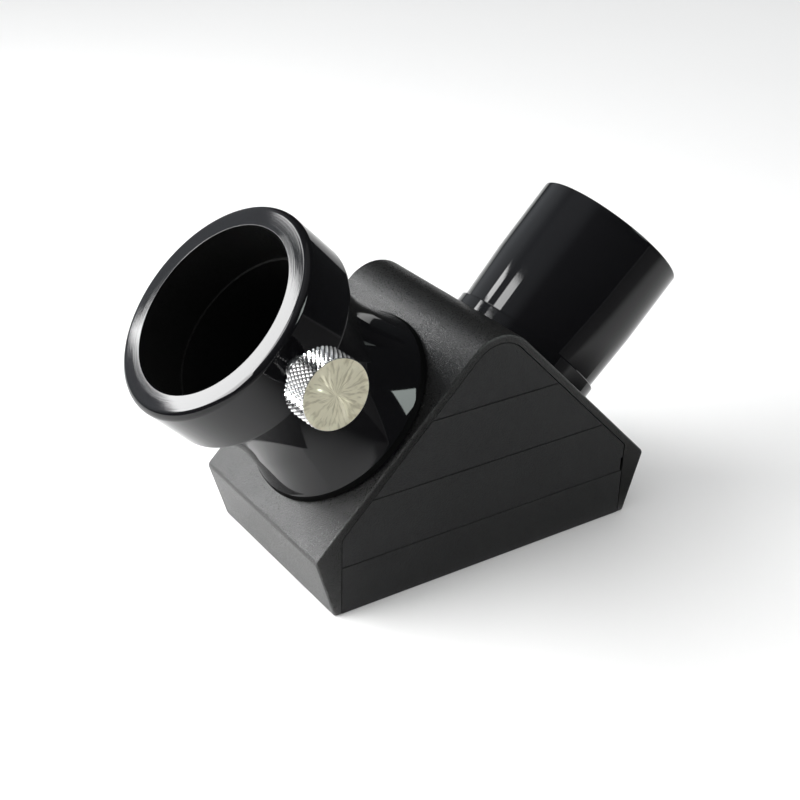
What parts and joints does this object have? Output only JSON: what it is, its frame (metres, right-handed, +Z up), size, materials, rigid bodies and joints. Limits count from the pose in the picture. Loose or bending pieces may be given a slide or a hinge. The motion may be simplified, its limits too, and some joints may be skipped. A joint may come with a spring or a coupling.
{
  "type": "star diagonal",
  "caption": "90 degree mirror star diagonal: ridge housing with grooved side panels, eyepiece holder with a knurled thumb screw, and a nose barrel for the focuser.",
  "frame": {"origin": "centre of the base cover's underside, on which the diagonal rests", "axes": "+X along the base towards the telescope (nose barrel) side, +Y across the housing away from the thumb screw, +Z up"},
  "size_m": [0.1139, 0.0522, 0.0695],
  "materials": {
    "housing": "matt black, fine texture",
    "panel": "charcoal, fine grain",
    "tube": "deep gloss black",
    "ring": "satin black",
    "chrome": "bright, diamond knurl",
    "screw": "black zinc",
    "nylon": "natural nylon",
    "cell": "matt black",
    "pad": "closed-cell foam",
    "mirror": "front-silvered glass",
    "spring": "spring steel"
  },
  "bodies": {
    "diagonal": {"housing": "housing", "side_panel_left": "panel", "side_panel_right": "panel", "base_cover": "panel", "base_screw_1": "screw", "base_screw_2": "screw", "base_screw_3": "screw", "base_screw_4": "screw", "mirror_cell": "cell", "mirror_pad": "pad", "mirror": "mirror", "mirror_clip_left": "spring", "mirror_clip_right": "spring", "clip_screw_left": "screw", "clip_screw_right": "screw", "eyepiece_holder": "tube", "holder_lock_ring": "ring", "nose_tube": "tube", "nose_lock_ring": "ring"},
    "screw_tip": {"thumb_screw_tip": "nylon"},
    "screw": {"thumb_screw": "chrome"}
  },
  "joints": [
    {"name": "thumb_screw_travel", "type": "slide", "parent": "diagonal", "child": "screw_tip", "axis": [0.0226, -0.9995, 0.0226], "range_m": [-0.00481, 0.00161]},
    {"name": "thumb_screw_turn", "type": "hinge", "parent": "screw_tip", "child": "screw", "pos_m": [-0.041, -0.02069, 0.05119], "axis": [0.0226, -0.9995, 0.0226], "range_deg": [-2160, 720]}
  ],
  "couplings": [
    {"joint": "thumb_screw_travel", "follows": "thumb_screw_turn", "m_per_rad": 0.00012732}
  ]
}
